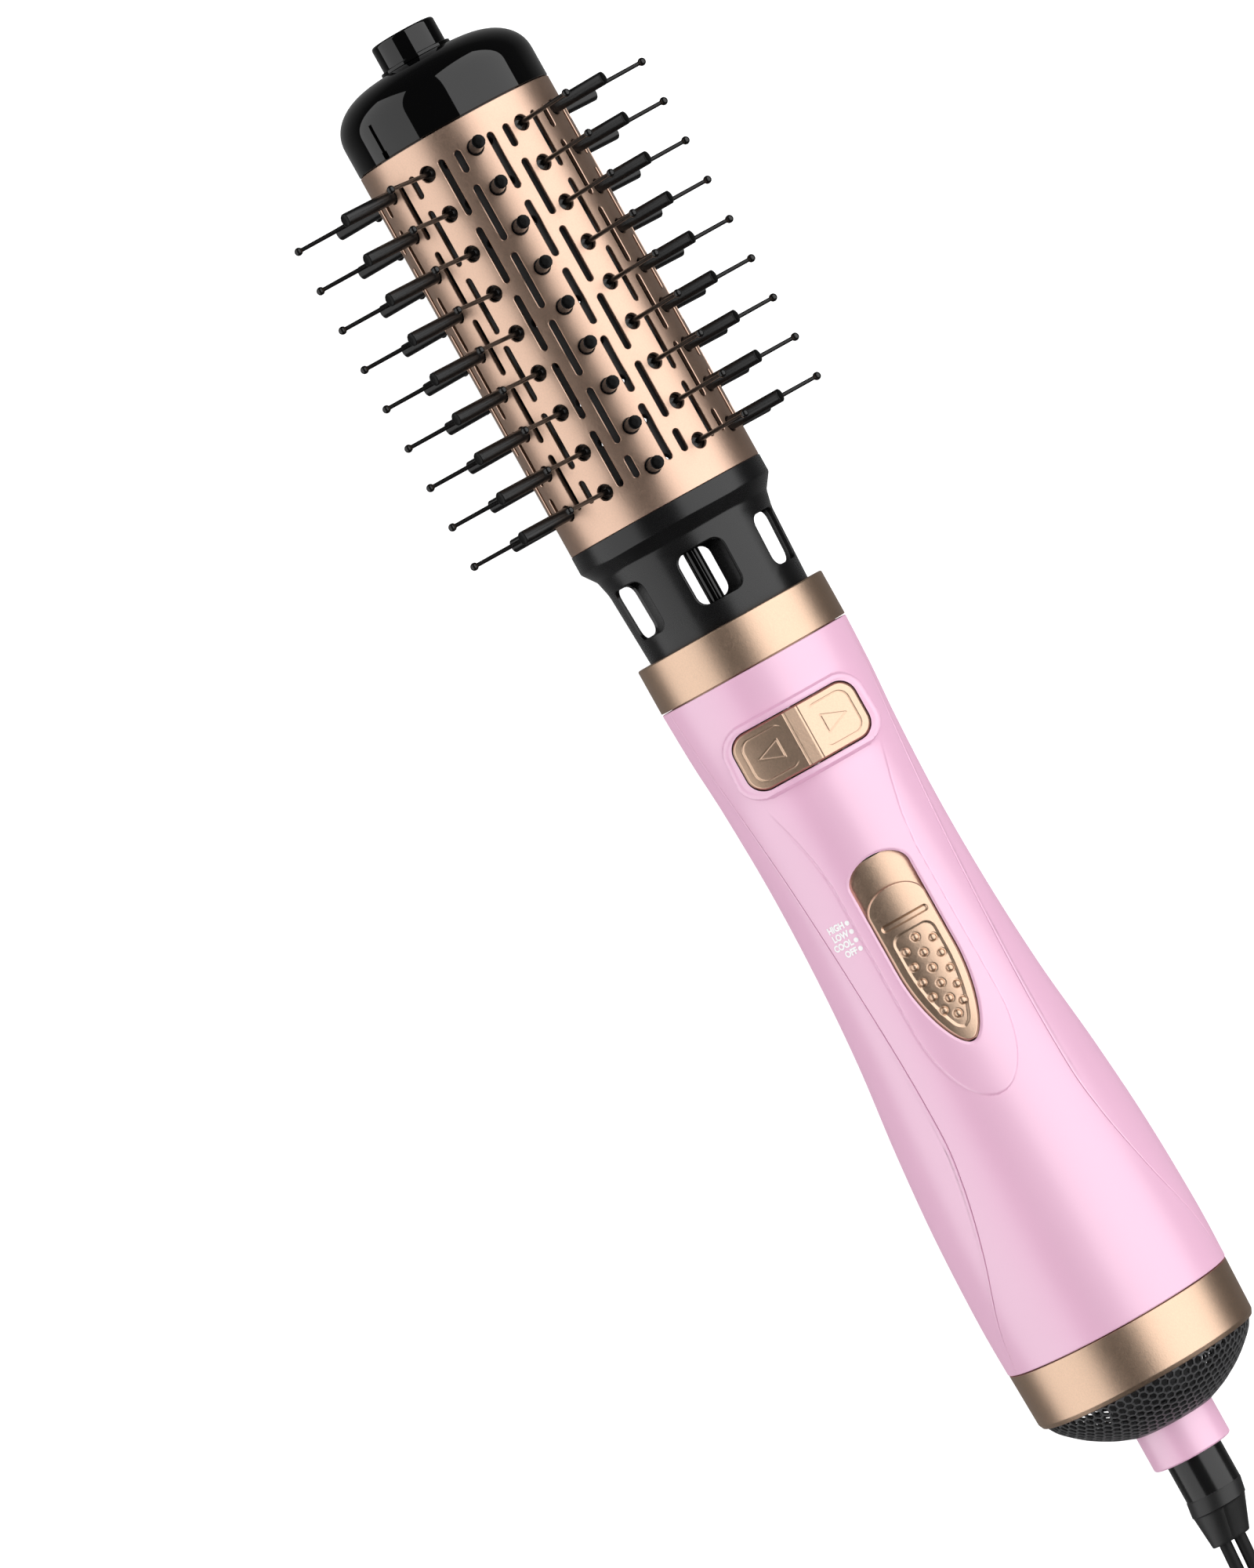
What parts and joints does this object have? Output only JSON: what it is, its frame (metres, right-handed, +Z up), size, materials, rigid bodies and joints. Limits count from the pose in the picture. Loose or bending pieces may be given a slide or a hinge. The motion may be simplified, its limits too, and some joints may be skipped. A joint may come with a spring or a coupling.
{
  "type": "rotating hot air brush",
  "caption": "Rotating hot air brush with bristled barrel head, windowed neck, waisted handle with rocker and slide switch, domed air inlet and swivel mains lead.",
  "frame": {"origin": "on the table under the middle of the brush, without its mains lead", "axes": "+X along the brush towards its cool tip, +Z up through the controls, +Y to the left seen from behind the handle"},
  "size_m": [0.6446, 0.0938, 0.0856],
  "materials": {
    "gloss_black": "glossy",
    "satin_black": "satin",
    "bristle_nylon": "satin",
    "barrel_gold": "satin anodised",
    "trim_gold": "satin metallic paint",
    "pink_plastic": "satin",
    "cord_black": "matte",
    "blade_brass": "polished",
    "steel": "brushed",
    "shield_aluminium": "mill",
    "mica": "matte",
    "board_green": "satin",
    "grey_plastic": "matte",
    "white_nylon": "matte"
  },
  "bodies": {
    "cord": {"swivel_boot": "cord_black", "cord_lead": "cord_black", "cord_hank": "cord_black", "cord_tail": "cord_black", "cord_tie": "cord_black", "plug_body": "cord_black", "plug_blade_1": "blade_brass", "plug_blade_2": "blade_brass"},
    "handle": {"front_ring": "trim_gold", "outlet_grille": "satin_black", "top_shell": "pink_plastic", "bottom_shell": "pink_plastic", "shell_screw_1": "steel", "shell_screw_2": "steel", "rear_ring": "trim_gold", "inlet_mesh": "satin_black", "cord_collar": "pink_plastic", "rocker_pin": "steel", "track_plate": "trim_gold", "control_board": "board_green", "tact_switch_left": "grey_plastic", "tact_switch_right": "grey_plastic", "slide_switch_body": "grey_plastic", "heat_shield": "shield_aluminium", "heater_frame": "mica", "heater_coil": "steel", "thermostat": "steel", "fan_duct": "grey_plastic", "fan_motor": "steel", "gear_motor": "steel", "gear_plate": "grey_plastic"},
    "fan": {"fan": "satin_black"},
    "drive": {"drive_rod": "steel", "drive_gear": "white_nylon"},
    "pinion": {"motor_pinion": "steel"},
    "rocker": {"rocker": "trim_gold"},
    "slider": {"slide_switch": "trim_gold"},
    "neck": {"neck": "satin_black"},
    "head": {"barrel": "barrel_gold", "end_cap": "gloss_black", "head_core": "satin_black", "tuft_strip_1": "bristle_nylon", "pin_strip_1": "bristle_nylon", "tuft_strip_2": "bristle_nylon", "pin_strip_2": "bristle_nylon", "tuft_strip_3": "bristle_nylon", "pin_strip_3": "bristle_nylon", "tuft_strip_4": "bristle_nylon", "pin_strip_4": "bristle_nylon", "tuft_strip_5": "bristle_nylon", "pin_strip_5": "bristle_nylon", "tuft_strip_6": "bristle_nylon", "pin_strip_6": "bristle_nylon"},
    "cool_tip": {"cool_tip": "gloss_black"}
  },
  "joints": [
    {"name": "cord_swivel", "type": "hinge", "parent": "cord", "child": "handle", "pos_m": [-0.21981, 0, 0.02569], "axis": [0.9987, 0, 0.0512], "continuous": true},
    {"name": "fan_spin", "type": "hinge", "parent": "handle", "child": "fan", "pos_m": [0.18966, 0, 0.0467], "axis": [0.9987, 0, 0.0512], "continuous": true},
    {"name": "drive_spin", "type": "hinge", "parent": "handle", "child": "drive", "pos_m": [0.18966, 0, 0.0467], "axis": [0.9987, 0, 0.0512], "continuous": true},
    {"name": "pinion_spin", "type": "hinge", "parent": "handle", "child": "pinion", "pos_m": [-0.06726, 0, 0.019], "axis": [0.9987, 0, 0.0512], "continuous": true},
    {"name": "rocker_tilt", "type": "hinge", "parent": "handle", "child": "rocker", "pos_m": [0.00045, 0, 0.05762], "axis": [0.9987, 0, 0.0512], "range_deg": [-4, 4], "stiffness_Nm_per_rad": 0.3},
    {"name": "switch_slide", "type": "slide", "parent": "handle", "child": "slider", "axis": [0.9987, 0, 0.0512], "range_m": [0, 0.0069]},
    {"name": "head_pull", "type": "slide", "parent": "handle", "child": "neck", "axis": [0.9987, 0, 0.0512], "range_m": [0, 0.135]},
    {"name": "barrel_spin", "type": "hinge", "parent": "neck", "child": "head", "pos_m": [0.18966, 0, 0.0467], "axis": [0.9987, 0, 0.0512], "continuous": true},
    {"name": "cool_tip_spin", "type": "hinge", "parent": "head", "child": "cool_tip", "pos_m": [0.18966, 0, 0.0467], "axis": [0.9987, 0, 0.0512], "continuous": true}
  ],
  "couplings": [
    {"joint": "drive_spin", "follows": "barrel_spin", "ratio": 1},
    {"joint": "pinion_spin", "follows": "barrel_spin", "ratio": -2}
  ]
}
